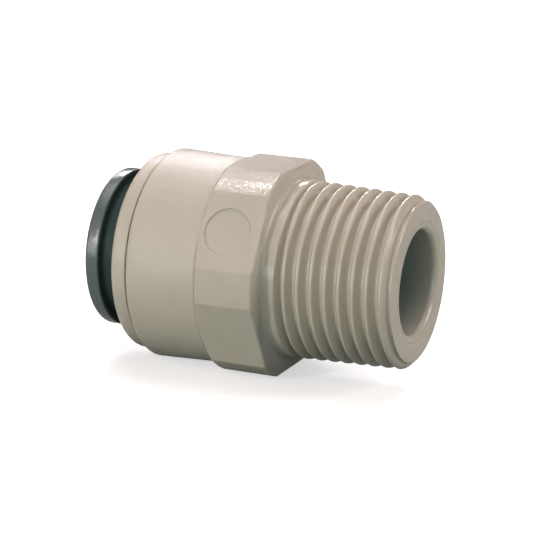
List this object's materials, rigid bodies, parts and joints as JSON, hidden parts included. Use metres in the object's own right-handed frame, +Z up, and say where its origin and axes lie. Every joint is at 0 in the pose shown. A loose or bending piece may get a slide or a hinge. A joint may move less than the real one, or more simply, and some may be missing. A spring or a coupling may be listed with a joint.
{
  "type": "push-fit straight adapter",
  "caption": "Straight adapter with a push-fit tube socket, a sliding release collet, a wrench hexagon and a tapered male pipe thread.",
  "frame": {"origin": "on the common axis, in the plane of the hexagon's shoulder face, inside the waterway bore", "axes": "+X along the axis towards the threaded end, the tube enters from -X; +Z up with the part lying on one flat of its hexagon"},
  "size_m": [0.0313, 0.0212, 0.0205],
  "materials": {
    "body_plastic": "satin moulded",
    "collet_plastic": "satin moulded",
    "seal_rubber": "smooth",
    "tooth_steel": "stamped"
  },
  "bodies": {
    "fitting": {"body": "body_plastic", "end_cap": "body_plastic", "o_ring": "seal_rubber", "spacer_washer": "body_plastic"},
    "release_collet": {"collet": "collet_plastic", "grip_tooth_1": "tooth_steel", "grip_tooth_2": "tooth_steel", "grip_tooth_3": "tooth_steel", "grip_tooth_4": "tooth_steel", "grip_tooth_5": "tooth_steel", "grip_tooth_6": "tooth_steel", "grip_tooth_7": "tooth_steel", "grip_tooth_8": "tooth_steel"}
  },
  "joints": [
    {"name": "collet_slide", "type": "slide", "parent": "fitting", "child": "release_collet", "axis": [1, 0, 0], "range_m": [0, 0.0021]}
  ]
}
